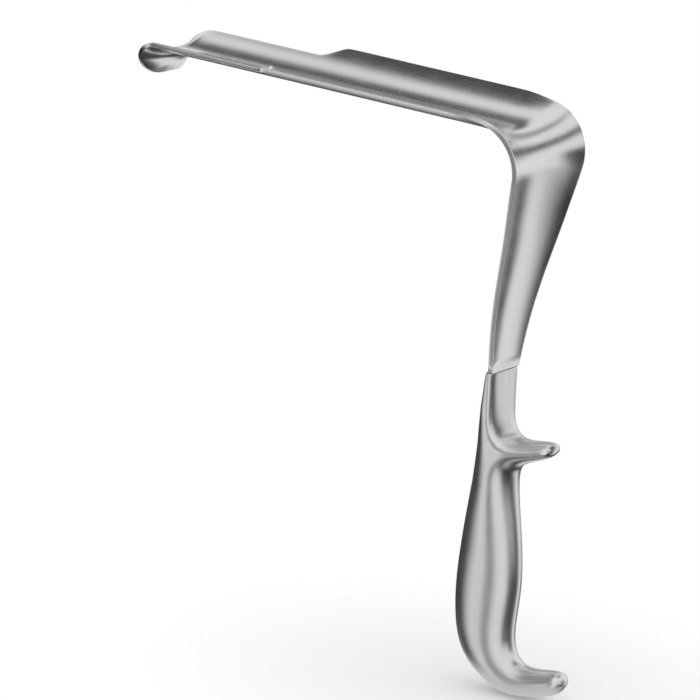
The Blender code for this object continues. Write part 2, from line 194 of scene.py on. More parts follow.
# Studio: the floor's disc, and how far the large cards stand from the retractor
FLOOR_RADIUS = 0.16
FLOOR_RINGS = 24
FLOOR_SIDES = 96
FLOOR_MIDDLE_X = 0.01
FLOOR_DROP = 0.3 * MM
FLOOR_FADE_FROM = 0.3
FLOOR_TONE = (0.97, 0.97, 0.97, 1.0)
WHITE = (1.0, 1.0, 1.0, 1.0)
CARD_DISTANCE = 3.0
CARDS_MIDDLE = (0.0, 0.0, 0.06)
STEEPEST = 89.5
STRAIGHT_DOWN = -90.0

# Points along and across each kind of card, so that its soft edge stays smooth
CARD_ROWS = 41
CARD_COLUMNS = 81
RIB_PLACES = 49
RIB_COLUMNS = 13
FLAG_STEPS = 25

# Share of a small card's half size from which its edge gets soft
FLAG_SOFT_FROM = 0.3
WHITE_SOFT_FROM = 0.4

# White card under the butt: its middle, half length, half width and light
WHITE_CARD_MIDDLE = (0.018, -0.012, -0.06)
WHITE_CARD_LONG = (0.05, 0.0, 0.0)
WHITE_CARD_WIDE = (0.0, 0.035, 0.0)
WHITE_CARD_LIGHT = 0.8


# Shader maths

class Value:
    """A number that changes over a surface; the usual signs add its Math nodes."""

    def __init__(self, finish, socket):
        self.finish = finish
        self.socket = socket

    def maths(self, operation, *values):
        return self.finish.node("ShaderNodeMath", {"operation": operation}, *values)

    def __add__(self, other):
        return self.maths("ADD", self, other)

    __radd__ = __add__

    def __sub__(self, other):
        return self.maths("SUBTRACT", self, other)

    def __rsub__(self, other):
        return self.maths("SUBTRACT", other, self)

    def __mul__(self, other):
        return self.maths("MULTIPLY", self, other)

    __rmul__ = __mul__

    def kept_between(self, low, high):
        return self.maths("MINIMUM", self.maths("MAXIMUM", self, low), high)


class Finish:
    """A material's nodes; every node but the shader comes from the one method node()."""

    def __init__(self, name):
        self.material = bpy.data.materials.new(name)
        self.material.use_nodes = True
        self.tree = self.material.node_tree

    def node(self, kind, settings=None, *values, out=0, **named):
        made = self.tree.nodes.new(kind)
        for name, value in (settings or {}).items():
            setattr(made, name, value)
        for key, value in list(enumerate(values)) + list(named.items()):
            where = made.inputs[key if isinstance(key, int) else key.replace("_", " ")]
            if isinstance(value, Value):
                self.tree.links.new(value.socket, where)
            elif value is not None:
                where.default_value = value
        return Value(self, made.outputs[out]) if made.outputs else made

    def feed(self, value, socket):
        self.tree.links.new(value.socket, socket)


def noise(finish, place, scale, detail, rough):
    """Unevenness of the steel at one fineness, from 0 to 1."""
    return finish.node("ShaderNodeTexNoise", {}, Vector=place, Scale=scale, Detail=detail, Roughness=rough)


def satin_steel(name, colour, roughness, seed):
    """Satin steel: fine grain along the piece, faint clouds and specks from polishing, lighter worn edges."""
    finish = Finish(name)
    shader = finish.tree.nodes["Principled BSDF"]
    shader.inputs["Metallic"].default_value = 1.0
    place = finish.node("ShaderNodeAttribute", {"attribute_name": "along and across"}, out=1)
    solid = finish.node("ShaderNodeTexCoord", out=3)
    start = (seed, seed, seed)
    straight = (0.0, 0.0, 0.0)
    drawn = finish.node("ShaderNodeMapping", {}, place, start, straight, GRAIN)
    long = finish.node("ShaderNodeMapping", {}, place, start, straight, STROKES)
    grain = noise(finish, drawn, 1.0, 3.0, 0.65)
    strokes = noise(finish, long, 1.0, 2.0, 0.5)
    clouds = noise(finish, solid, CLOUDS, 4.0, 0.6)
    specks = noise(finish, solid, SPECKS, 2.0, 0.7)
    dents = noise(finish, solid, DENTS, 1.0, 0.5)
    worn = finish.node("ShaderNodeAttribute", {"attribute_name": "worn edge"}, out=2)
    tone = 1.0 + (grain - 0.5) * 0.09 + (strokes - 0.5) * 0.07
    tone = tone + (clouds - 0.5) * 0.1 + (specks - 0.5) * 0.1
    brighter = tone + worn * 0.08
    tinted = finish.node("ShaderNodeVectorMath", {"operation": "SCALE"}, colour, Scale=brighter)
    finish.feed(tinted, shader.inputs["Base Color"])
    dull = roughness + (clouds - 0.5) * 0.09 + (grain - 0.5) * 0.08 - worn * 0.05
    finish.feed(dull.kept_between(SMOOTHEST, DULLEST), shader.inputs["Roughness"])
    relief = grain * 0.6 + strokes * 0.3 + specks * 0.4 + dents * 1.6
    bump = finish.node("ShaderNodeBump", {}, Strength=RELIEF_STRENGTH, Distance=RELIEF_DEPTH,
                       Height=relief)
    finish.feed(bump, shader.inputs["Normal"])
    return finish.material


def ease(start, end, value):
    """Smooth step from 0 at start to 1 at end."""
    share = np.clip((value - start) / (end - start), 0.0, 1.0)
    return share * share * (3.0 - 2.0 * share)


# Meshes

def steel_piece(name, points, faces, places, material):
    """A piece with its finish; places say how far along and across the piece each point lies, for the grain."""
    mesh = bpy.data.meshes.new(name)
    mesh.from_pydata(points, [], faces)
    mesh.materials.append(material)
    grain = mesh.attributes.new("along and across", "FLOAT_VECTOR", "POINT")
    grain.data.foreach_set("vector", np.array(places, dtype=float).ravel())
    piece = bpy.data.objects.new(name, mesh)
    bpy.context.scene.collection.objects.link(piece)
    return piece


def settle(piece, sharp_from):
    """Applies the modifiers, turns the faces outwards and shades the piece smooth up to an edge angle."""
    graph = bpy.context.evaluated_depsgraph_get()
    finished = bpy.data.meshes.new_from_object(piece.evaluated_get(graph))
    piece.modifiers.clear()
    piece.data = finished
    turn_outwards(piece)
    piece.data.shade_smooth()
    piece.data.set_sharp_from_angle(angle=sharp_from)
    wear(piece)


def wear(piece):
    """How far each point stands out of its surroundings: hands and polishing wear these places bright."""
    mesh = bmesh.new()
    mesh.from_mesh(piece.data)
    layer = mesh.verts.layers.float.new("worn edge")
    for vert in mesh.verts:
        lean = [edge.calc_face_angle_signed(0.0) / max(edge.calc_length(), SHORTEST_EDGE)
                for edge in vert.link_edges]
        vert[layer] = min(max(sum(lean) / max(len(lean), 1) / WEAR_CURVATURE, 0.0), 1.0)
    mesh.to_mesh(piece.data)
    mesh.free()


def dress(piece, slot, *nodes):
    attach(piece, "root")
    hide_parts(*nodes)


def turn_outwards(item):
    """Make all faces point out of the solid."""
    mesh = bmesh.new()
    mesh.from_mesh(item.data)
    bmesh.ops.remove_doubles(mesh, verts=mesh.verts, dist=WELD_DISTANCE)
    bmesh.ops.recalc_face_normals(mesh, faces=mesh.faces)
    mesh.to_mesh(item.data)
    mesh.free()


def turn_sheet(item, side):
    """Turn an open sheet so that its normals point to its own side."""
    mesh = bmesh.new()
    mesh.from_mesh(item.data)
    bmesh.ops.recalc_face_normals(mesh, faces=mesh.faces)
    lean = sum(face.normal.y * face.calc_area() for face in mesh.faces)
    if lean * side < 0.0:
        bmesh.ops.reverse_faces(mesh, faces=mesh.faces)
    mesh.to_mesh(item.data)
    mesh.free()


def grid_faces(rows, wide):
    """Faces between the neighbouring rows of a grid of points."""
    faces = []
    for row in range(rows - 1):
        for column in range(wide - 1):
            corner = row * wide + column
            faces.append((corner, corner + wide, corner + wide + 1, corner + 1))
    return faces


# Blade

def lip_arc():
    return LIP_RADIUS * LIP_ANGLE


def bend_end():
    return BLADE_LENGTH + BEND_RADIUS * BEND_ANGLE


def stem_end():
    return bend_end() + STEM_LENGTH


def arc_step(x, z, angle, turn, length):
    """End of an arc that leaves (x, z) at a downward angle and turns on by the given angle."""
    if abs(turn) < 1e-9:
        return x + length * math.cos(angle), z - length * math.sin(angle)
    radius = length / turn
    over = angle + turn
    return (x + radius * (math.sin(over) - math.sin(angle)),
            z + radius * (math.cos(over) - math.cos(angle)))


def centre_line(place):
    """Point and downward angle of the sheet's middle; place 0 is where the lip's bend ends."""
    if place < 0.0:
        run = -place
        over = min(run / LIP_RADIUS, LIP_ANGLE)
        x = -BLADE_LENGTH - LIP_RADIUS * math.sin(over)
        z = -LIP_RADIUS * (1.0 - math.cos(over))
        rest = max(run - lip_arc(), 0.0)
        return x - rest * math.cos(over), z - rest * math.sin(over), -over
    if place <= BLADE_LENGTH:
        return place - BLADE_LENGTH, 0.0, 0.0
    turned = min((place - BLADE_LENGTH) / BEND_RADIUS, BEND_ANGLE)
    x, z = arc_step(0.0, 0.0, 0.0, turned, BEND_RADIUS * turned)
    curved = STEM_LENGTH - NECK_FLAT
    run = min(max(place - bend_end(), 0.0), curved)
    back = -STEM_TURN_BACK * run / curved
    x, z = arc_step(x, z, turned, back, run)
    straight = max(place - bend_end() - curved, 0.0)
    angle = turned + back
    return x + straight * math.cos(angle), z - straight * math.sin(angle), angle


def half_width(place):
    """Half the developed outline's width: rounded tip, shoulders, bend corner, tapering stem."""
    start = -lip_arc() - LIP_FLAT
    share = min((place - start) / TIP_ROUNDING, 1.0)
    tongue = (1.0 - (1.0 - share) ** TIP_POWER) ** (1.0 / TIP_POWER)
    wide = TIP_WIDTH / 2 * tongue
    wide += (BLADE_WIDTH - TIP_WIDTH) / 2 * ease(SHOULDER_START, SHOULDER_START + SHOULDER_LENGTH, place)
    down = (place - bend_end()) / STEM_LENGTH
    inside = min(max(down, 0.0), 1.0)
    taper = STEM_TOP_WIDTH + (NECK_WIDTH - STEM_TOP_WIDTH) * down
    taper = taper / 2 - STEM_WAIST * 2.0 * inside * (1.0 - inside)
    taper *= 1.0 - NECK_TUCK * ease(stem_end() - NECK_TUCK_FROM, stem_end(), place)
    soft = max(CORNER_SOFTNESS - abs(wide - taper), 0.0)
    return min(wide, taper) - soft ** 2 / (4.0 * CORNER_SOFTNESS)


def gutter_curvature(place):
    """Curvature across the sheet; it fades out just above the seam."""
    bend_start = BLADE_LENGTH - BEND_RADIUS
    flat_start = stem_end() - NECK_END
    change = ease(bend_start, bend_end(), place)
    down = np.clip((place - bend_end()) / (flat_start - bend_end()), 0.0, 1.0)
    curvature = 1.0 / GUTTER_RADIUS + (1.0 / STEM_GUTTER_RADIUS - 1.0 / GUTTER_RADIUS) * change
    curvature += (1.0 / NECK_GUTTER_RADIUS - 1.0 / STEM_GUTTER_RADIUS) * down
    return curvature * (1.0 - ease(stem_end() - NECK_FADE, flat_start, place))


def blade_row(place, half, thick_side, origin):
    """One row of the sheet's convex side, across the gutter; half is measured at that side's edges."""
    x, z, angle = centre_line(place)
    curvature = max(gutter_curvature(place), SMALLEST)
    half /= 1.0 + curvature * thick_side
    lean = math.asin(curvature * half) * np.linspace(-1.0, 1.0, BLADE_COLUMNS + 1)
    rise = (1.0 - np.cos(lean)) / curvature
    straight_edges = ease(bend_end() + STRAIGHT_EDGES_START, stem_end() - NECK_FLAT, place)
    out = rise - rise[0] * straight_edges - thick_side * np.cos(lean)
    y = np.sin(lean) / curvature + thick_side * np.sin(lean)
    along = origin[0] + x + math.sin(angle) * out
    up = origin[1] + z + math.cos(angle) * out
    return list(zip(along, y, up))


def blade_origin():
    """Where the bend's start lies, so that the stem's front face meets the handle's mouth."""
    x, z, angle = centre_line(stem_end())
    return (MOUTH_X - x + SHEET / 2 * math.sin(angle), MOUTH_Z - z)


def blade_places():
    """Where the cross rows of the blade lie: close together at the lip, the shoulders and the bend."""
    tip = -lip_arc() - LIP_FLAT
    gutter_end = BLADE_LENGTH - BEND_RADIUS
    shoulder_end = SHOULDER_START + SHOULDER_LENGTH
    places = [tip + TIP_ROUNDING * share for share in (0.016, 0.05, 0.1, 0.17, 0.25)]
    places += list(np.linspace(tip + TIP_ROUNDING * 0.33, 0.0, 12))
    places += list(np.linspace(0.0, SHOULDER_START, 9)[1:])
    places += list(np.linspace(SHOULDER_START, shoulder_end, 9)[1:])
    places += list(np.linspace(shoulder_end, gutter_end, 10)[1:])
    places += list(np.linspace(gutter_end, bend_end(), 24)[1:])
    places += list(np.linspace(bend_end(), stem_end() - NECK_FLAT, 22)[1:])
    places += list(np.linspace(stem_end() - NECK_FLAT, stem_end() - SEAM_GAP, 9)[1:])
    return places


def build_blade(material):
    """The pressed sheet from lip to neck; its rim is rounded and the whole is smoothed by subdivision."""
    origin = blade_origin()
    places = blade_places()
    points = []
    grain = []
    for place in places:
        row = blade_row(place, half_width(place), SHEET / 2, origin)
        points += row
        grain += [(place, across[1], 0.0) for across in row]
    faces = grid_faces(len(places), BLADE_COLUMNS + 1)
    blade = steel_piece("blade_sheet", points, faces, grain, material)
    thicken = blade.modifiers.new("sheet", "SOLIDIFY")
    thicken.thickness = SHEET
    thicken.offset = 1.0
    thicken.use_even_offset = False
    rounding = blade.modifiers.new("rounded rim", "BEVEL")
    rounding.width = EDGE_ROUNDING
    rounding.segments = 2
    rounding.limit_method = "ANGLE"
    rounding.angle_limit = RIM_ANGLE
    smoothing = blade.modifiers.new("smooth sheet", "SUBSURF")
    smoothing.levels = 2
    smoothing.render_levels = 2
    settle(blade, SHARP_SHEET)
    return blade


# Handle: the outlines in side view give x, z, the depth of the rounding and its squareness (2 is an ellipse)

def back_outline():
    """Back of the handle in side view, from the mouth to the hook's tip."""
    return [
        (MOUTH_X + TANG_THICKNESS + GAP + WALL, MOUTH_Z, 1.7 * MM, 5.6),
        (-1.5 * MM, CROOK_Z + 9.6 * MM, 1.9 * MM, 3.0),
        (0.3 * MM, CROOK_Z + 3.4 * MM, 2.4 * MM, 2.6),
        (3.4 * MM, CROOK_Z + 0.5 * MM, 3.2 * MM, 2.5),
        (9.5 * MM, CROOK_Z - 0.2 * MM, 3.4 * MM, 2.4),
        (REST_TIP_X - 3.6 * MM, REST_TIP_Z + 2.1 * MM, 3.0 * MM, 2.3),
        (REST_TIP_X - 0.4 * MM, REST_TIP_Z + 1.2 * MM, 2.8 * MM, 2.2),
        (REST_TIP_X - 0.3 * MM, REST_TIP_Z - 2.0 * MM, 2.8 * MM, 2.2),
        (REST_TIP_X - 7.2 * MM, REST_TIP_Z - 6.3 * MM, 3.6 * MM, 2.3),
        (REST_ROOT_X + 1.7 * MM, REST_ROOT_Z + 5.0 * MM, 7.0 * MM, 2.0),
        (REST_ROOT_X, REST_ROOT_Z, 9.0 * MM, 2.0),
        (GRIP_BACK - 3.0 * MM, 15.1 * MM, 12.0 * MM, 2.0),
        (GRIP_BACK + 0.5 * MM, -11.6 * MM, 13.5 * MM, 2.0),
        (GRIP_BACK + 0.4 * MM, HOOK_ROOT_Z + 8.8 * MM, 12.0 * MM, 2.0),
        (GRIP_BACK + 5.8 * MM, HOOK_ROOT_Z, 7.5 * MM, 2.0),
        (HOOK_TIP_X - 8.2 * MM, HOOK_ROOT_Z + 0.7 * MM, 5.5 * MM, 2.0),
        (HOOK_TIP_X - 1.8 * MM, HOOK_TIP_Z + 3.7 * MM, 4.6 * MM, 2.0),
        (HOOK_TIP_X, HOOK_TIP_Z, 4.5 * MM, 2.0),
    ]


def front_outline():
    """Front and underside of the handle, from the mouth to the hook's tip."""
    return [
        (MOUTH_X - GAP - WALL - MOUTH_FLARE, MOUTH_Z, 1.7 * MM, 5.0),
        (GRIP_FRONT + 5.7 * MM, 63.5 * MM, 3.0 * MM, 4.5),
        (GRIP_FRONT + 4.3 * MM, 47.8 * MM, 7.0 * MM, 2.6),
        (GRIP_FRONT + 2.5 * MM, 31.0 * MM, 11.0 * MM, 2.0),
        (GRIP_FRONT + 0.2 * MM, 3.3 * MM, 14.0 * MM, 2.0),
        (GRIP_FRONT + 1.0 * MM, -24.5 * MM, 12.5 * MM, 2.0),
        (GRIP_FRONT + 9.2 * MM, BUTT_Z + 9.9 * MM, 10.5 * MM, 2.0),
        (GRIP_FRONT + 25.8 * MM, BUTT_Z + 0.4 * MM, 7.0 * MM, 2.0),
        (HOOK_TIP_X - 20.2 * MM, BUTT_Z, 6.3 * MM, 2.0),
        (HOOK_TIP_X - 4.0 * MM, HOOK_TIP_Z - 5.2 * MM, 5.0 * MM, 2.0),
        (HOOK_TIP_X, HOOK_TIP_Z, 4.5 * MM, 2.0),
    ]


def spline(outline, per_span=12):
    """Smooth curve through the outline's points; returns its points and the place of each along the outline."""
    given = np.array(outline)
    step = np.sqrt(np.linalg.norm(np.diff(given[:, :2], axis=0), axis=1))
    count = len(given)
    system = np.eye(count)
    right = np.zeros(given.shape)
    for row in range(1, count - 1):
        before = step[row - 1]
        after = step[row]
        system[row, row - 1:row + 2] = (before, 2.0 * (before + after), after)
        right[row] = 6.0 * ((given[row + 1] - given[row]) / after - (given[row] - given[row - 1]) / before)
    bend = np.linalg.solve(system, right)
    places = np.linspace(0.0, count - 1.0, per_span * (count - 1) + 1)
    span = np.minimum(places.astype(int), count - 2)
    late = (places - span)[:, None]
    early = 1.0 - late
    straight = early * given[span] + late * given[span + 1]
    lift = (early ** 3 - early) * bend[span] + (late ** 3 - late) * bend[span + 1]
    curve = straight + lift * step[span][:, None] ** 2 / 6.0
    curve[:, 2:] = straight[:, 2:]
    return curve, places


def shell_half_width(x, z):
    """Half the handle's width at places of its side view."""
    neck_low = ease(-(CROOK_Z + NECK_ABOVE_CROOK), -(REST_ROOT_Z - NECK_BELOW_REST), -z)
    width = MOUTH_WIDTH + (GRIP_WIDTH - MOUTH_WIDTH) * neck_low
    width = width + (BUTT_WIDTH - GRIP_WIDTH) * ease(-BUTT_SWELL_Z, -BUTT_Z, -z)
    out_to_rest = ease(REST_FLARE_X, REST_TIP_X, x)
    up_to_rest = ease(REST_ROOT_Z - 2.0 * REST_FLARE_RISE, REST_ROOT_Z + REST_FLARE_RISE, z)
    width = width + (REST_WIDTH - width) * out_to_rest * up_to_rest
    out_to_hook = ease(HOOK_FLARE_X, HOOK_TIP_X, x)
    down_to_hook = ease(-HOOK_FLARE_Z, -HOOK_ROOT_Z, -z)
    width = width + (HOOK_WIDTH - width) * out_to_hook * down_to_hook
    return width / 2


def height_over(places, borders):
    """Height of the pressed shell over the middle plane at places of the side view.

    Every border rounds the shell off over its own depth, with its own squareness; the nearer counts more.
    """
    nearness = 0.0
    squareness = 0.0
    for border, deeper in zip(borders, (CROWN_DEEPER, 1.0, 1.0)):
        step = np.diff(border, axis=0)
        apart = places[:, None, :] - border[None, :-1, :2]
        along = (apart * step[:, :2]).sum(axis=2) / (step[:, :2] ** 2).sum(axis=1)
        nearest = border[:-1] + np.clip(along, 0.0, 1.0)[:, :, None] * step
        away = np.linalg.norm(places[:, None, :] - nearest[:, :, :2], axis=2) / (deeper * nearest[:, :, 2])
        best = away.argmin(axis=1)
        chosen = np.arange(len(places))
        weight = np.maximum(away[chosen, best], SMALLEST) ** -BORDER_BLEND
        nearness = nearness + weight
        squareness = squareness + weight * nearest[chosen, best, 3]
    inward = np.minimum(nearness ** (-1.0 / BORDER_BLEND), 1.0)
    rounding = (1.0 - (1.0 - inward) ** 2) ** (nearness / squareness)
    return shell_half_width(places[:, 0], places[:, 1]) * rounding


# Which place of the front outline faces which place of the back outline
FACING = [(0.0, 0.0), (1.0, 0.85), (2.0, 1.35), (3.0, 1.4), (4.0, 1.7), (5.0, 1.95), (6.5, 2.1), (8.0, 2.3),
          (9.0, 2.53), (10.0, 2.8), (11.0, 3.5), (12.0, 4.5), (13.0, 5.3), (14.0, 6.7), (15.0, 8.1),
          (16.0, 9.2), (17.0, 10.0)]
REST_TIP_PLACE = 6.5


def side_normals(curve, turn):
    """Directions square to an outline in side view; turn is 1 or -1 for the side they point to."""
    along = np.gradient(curve[:, :2], axis=0)
    out = np.stack([along[:, 1], -along[:, 0]], axis=1) * turn
    return out / np.linalg.norm(out, axis=1)[:, None]


def at(places, values, place):
    """An outline's row of values at one place along it."""
    return np.array([np.interp(place, places, values[:, axis]) for axis in range(values.shape[1])])


def row_shares(front_depth, back_depth, length):
    """Places across a row: close together in the two roundings, evenly spread between them."""
    total = front_depth + back_depth
    most = MOST_ROUNDED * length
    if total > most:
        front_depth *= most / total
        back_depth *= most / total
    turn = [1.0 - math.cos(math.pi / 2 * step / ROUND_STEPS) for step in range(ROUND_STEPS + 1)]
    shares = [front_depth * part / length for part in turn]
    span = 1.0 - (front_depth + back_depth) / length
    for step in range(1, MIDDLE_STEPS):
        shares.append(shares[ROUND_STEPS] + span * step / MIDDLE_STEPS)
    shares += [1.0 - back_depth * part / length for part in reversed(turn)]
    return shares


def row_places(back, places):
    """Places of the rows along the back outline, evenly spread by length but closer where it turns sharply."""
    length = np.concatenate([[0.0], np.cumsum(np.linalg.norm(np.diff(back[:, :2], axis=0), axis=1))])
    weight = 1.0
    for middle, reach, closer in CLOSER_ROWS:
        weight = weight + closer * np.exp(-((places - middle) / reach) ** 2)
    steps = np.diff(length) * 0.5 * (weight[1:] + weight[:-1])
    spread = np.concatenate([[0.0], np.cumsum(steps)])
    return np.interp(np.linspace(0.0, spread[-1], SHELL_ROWS), spread, places)


def relaxed(flat):
    """Evens out the rows between the roundings, so that none of them cross; the borders stay."""
    column = np.arange(flat.shape[1])
    middle = flat.shape[1] // 2 - 1
    share = np.minimum(ease(0, middle, column), ease(0, middle, column[::-1]))[None, :, None]
    for _ in range(EVENING_ROUNDS):
        even = (flat[:-2] + 2.0 * flat[1:-1] + flat[2:]) / 4.0
        flat[1:-1] += (even - flat[1:-1]) * share
    return flat


def shell_surface():
    """The half shell's outer surface: side-view places and heights, in rows from mouth to hook tip."""
    back, back_places = spline(back_outline())
    front, front_places = spline(front_outline())
    rest_tip = int(np.searchsorted(back_places, REST_TIP_PLACE))
    borders = (back[:rest_tip + 1], back[rest_tip:], front)
    back_out = side_normals(back, 1.0)
    front_out = side_normals(front, -1.0)
    pairs = np.array(FACING)
    rows = []
    for place in row_places(back, back_places)[:-1]:
        facing = float(np.interp(place, pairs[:, 0], pairs[:, 1]))
        end = at(back_places, back, place)
        start = at(front_places, front, facing)
        length = float(np.linalg.norm(end[:2] - start[:2]))
        reach = LONGEST_REACH * length
        leave = start[:2] + at(front_places, front_out, facing) * min(reach, start[2])
        arrive = end[:2] + at(back_places, back_out, place) * min(reach, BACK_REACH * end[2])
        share = np.array(row_shares(start[2], end[2], length))[:, None]
        rest = 1.0 - share
        row = rest ** 3 * start[:2] + 3 * rest ** 2 * share * leave
        rows.append(row + 3 * rest * share ** 2 * arrive + share ** 3 * end[:2])
    flat = relaxed(np.array(rows))
    heights = height_over(flat.reshape(-1, 2), borders).reshape(flat.shape[:2])
    return flat, heights


def rounded_mouth(flat, heights):
    """Adds rows that round off the shell's rim at the mouth."""
    middle = flat[0, :, 0].mean()
    deep = (flat[0, :, 0].max() - flat[0, :, 0].min()) / 2
    rows = []
    tall = []
    for turn in np.linspace(0.0, math.pi / 2, MOUTH_ROWS):
        inset = MOUTH_ROUNDING * (1.0 - math.sin(turn))
        row = flat[0].copy()
        row[:, 0] = middle + (row[:, 0] - middle) * (1.0 - inset / deep)
        row[:, 1] = MOUTH_Z - MOUTH_ROUNDING * (1.0 - math.cos(turn))
        rows.append(row)
        tall.append(np.maximum(heights[0] - inset, 0.0))
    return np.concatenate([rows, flat[1:]]), np.concatenate([tall, heights[1:]])


def build_shell(name, side, surface, material):
    """One pressed half of the handle, welded to the other half at y = 0 and polished flush there."""
    flat, heights = surface
    points = []
    grain = []
    along = 0.0
    for row, (places, tall) in enumerate(zip(flat, heights)):
        if row:
            along += float(np.linalg.norm(places.mean(axis=0) - flat[row - 1].mean(axis=0)))
        line = [(x, max(height, PARTING_LAND), z) for (x, z), height in zip(places, tall)]
        line.insert(0, (places[0][0], 0.0, places[0][1]))
        line.append((places[-1][0], 0.0, places[-1][1]))
        steps = np.linalg.norm(np.diff(np.array(line), axis=0), axis=1)
        around = np.concatenate([[0.0], np.cumsum(steps)])
        points += line
        grain += [(along, length, 0.0) for length in around - around[len(around) // 2]]
    wide = len(heights[0]) + 2
    tip = len(points)
    points += [(HOOK_TIP_X, PARTING_LAND, HOOK_TIP_Z), (HOOK_TIP_X, 0.0, HOOK_TIP_Z)]
    grain += [(along, 0.0, 0.0)] * 2
    faces = grid_faces(len(heights), wide)
    last = (len(heights) - 1) * wide
    faces.append((last, last + 1, tip, tip + 1))
    for column in range(1, wide - 2):
        faces.append((last + column, last + column + 1, tip))
    faces.append((last + wide - 2, last + wide - 1, tip + 1, tip))
    shell = steel_piece(name, [(x, side * y, z) for x, y, z in points], faces, grain, material)
    turn_sheet(shell, side)
    thicken = shell.modifiers.new("wall", "SOLIDIFY")
    thicken.thickness = WALL
    thicken.thickness_clamp = 1.0
    thicken.offset = -1.0
    thicken.use_even_offset = False
    settle(shell, SHARP_SHEET)
    return shell


def build_braze(surface, material):
    """Brazing metal: it fills the mouth and runs up to the stem in a small fillet."""
    flat, heights = surface
    half = [(x, max(height, 0.0)) for x, height in zip(flat[0, :, 0], heights[0])]
    loop = np.array(half + [(x, -y) for x, y in reversed(half[1:-1])])
    rear = MOUTH_X + SHEET
    middle = (MOUTH_X + rear) / 2
    neck = np.column_stack([
        np.clip(loop[:, 0], MOUTH_X + SEAM_NECK_THINNER, rear - SEAM_NECK_THINNER),
        np.clip(loop[:, 1], -NECK_WIDTH / 2 + SEAM_NECK_NARROWER, NECK_WIDTH / 2 - SEAM_NECK_NARROWER),
    ])
    rows = [(0.0, MOUTH_Z - WALL, MOUTH_ROUNDING), (0.0, MOUTH_Z - SEAM_BELOW_MOUTH, MOUTH_ROUNDING)]
    rows += [(share ** SEAM_LEAN, MOUTH_Z + SEAM_HEIGHT * share, MOUTH_ROUNDING * (1.0 - share))
             for share in np.linspace(SEAM_LEAN_FROM, 1.0, SEAM_ROWS)]
    points = []
    for share, z, inset in rows:
        outer = loop.copy()
        outer[:, 0] = middle + (outer[:, 0] - middle) * (1.0 - inset / MOUTH_HALF_DEPTH)
        outer[:, 1] *= 1.0 - inset / (MOUTH_WIDTH / 2)
        points += [(x, y, z) for x, y in outer + (neck - outer) * share]
    count = len(loop)
    faces = []
    for row in range(len(rows) - 1):
        for corner in range(count):
            after = (corner + 1) % count
            low = row * count
            high = low + count
            faces.append((low + corner, low + after, high + after, high + corner))
    faces.append(tuple(range(count)))
    faces.append(tuple(range((len(rows) - 1) * count, len(rows) * count)))
    grain = [(y, z, 0.0) for x, y, z in points]
    seam = steel_piece("braze_seam", points, faces, grain, material)
    settle(seam, SHARP_SEAM)
    return seam


# Studio

def build_camera():
    """Long lens at the picture's angle; its place and turn come from the outline in the picture."""
    lens = bpy.data.cameras.new("camera")
    lens.sensor_width = 36.0
    lens.lens = FOCAL_LENGTH
    lens.clip_end = 20.0
    camera = bpy.data.objects.new("camera", lens)
    camera.matrix_world = Matrix.Translation(Vector(CAMERA_PLACE)) @ Matrix(CAMERA_TURN).to_4x4()
    bpy.context.scene.collection.objects.link(camera)
    bpy.context.scene.camera = camera


def white_room():
    """Even white light from all round; the same white is the background."""
    room = bpy.data.worlds.new("white room")
    room.use_nodes = True
    background = room.node_tree.nodes["Background"]
    background.inputs["Color"].default_value = WHITE
    background.inputs["Strength"].default_value = 1.0
    bpy.context.scene.world = room


def stage_finish(name, attribute, shader, from_clear, **looks):
    """Finish of a card or the floor: an attribute of its points takes it from clear to the shader, or back."""
    finish = Finish(name)
    finish.tree.nodes.clear()
    solid = finish.node(shader, {}, **looks)
    clear = finish.node("ShaderNodeBsdfTransparent")
    share = finish.node("ShaderNodeAttribute", {"attribute_name": attribute}, out=2)
    first, second = (clear, solid) if from_clear else (solid, clear)
    finish.node("ShaderNodeOutputMaterial", {}, finish.node("ShaderNodeMixShader", {}, share, first, second))
    return finish


def stage_piece(name, points, faces, attribute, values, finish):
    """A card or the floor, with the attribute that its finish fades by."""
    mesh = bpy.data.meshes.new(name)
    mesh.from_pydata(points, [], faces)
    mesh.attributes.new(attribute, "FLOAT", "POINT").data.foreach_set("value", values)
    mesh.materials.append(finish.material)
    piece = bpy.data.objects.new(name, mesh)
    bpy.context.scene.collection.objects.link(piece)
    return piece


def build_floor():
    """Pale disc under the butt that takes the retractor's soft shadow and fades into the background."""
    points = [(0.0, 0.0, 0.0)]
    faded = [0.0]
    for ring in range(1, FLOOR_RINGS + 1):
        share = ring / FLOOR_RINGS
        for side in range(FLOOR_SIDES):
            turn = math.tau * side / FLOOR_SIDES
            points.append((FLOOR_RADIUS * share * math.cos(turn), FLOOR_RADIUS * share * math.sin(turn), 0.0))
            faded.append(float(ease(FLOOR_FADE_FROM, 1.0, share)))
    faces = [(0, 1 + side, 1 + (side + 1) % FLOOR_SIDES) for side in range(FLOOR_SIDES)]
    for ring in range(FLOOR_RINGS - 1):
        for side in range(FLOOR_SIDES):
            here = 1 + ring * FLOOR_SIDES + side
            beside = 1 + ring * FLOOR_SIDES + (side + 1) % FLOOR_SIDES
            faces.append((here, here + FLOOR_SIDES, beside + FLOOR_SIDES, beside))
    finish = stage_finish("pale floor", "faded", "ShaderNodeBsdfDiffuse", False, Color=FLOOR_TONE)
    floor = stage_piece("floor", points, faces, "faded", faded, finish)
    floor.location = (FLOOR_MIDDLE_X, 0.0, cad_box[0][2] - FLOOR_DROP)
    floor.visible_glossy = False


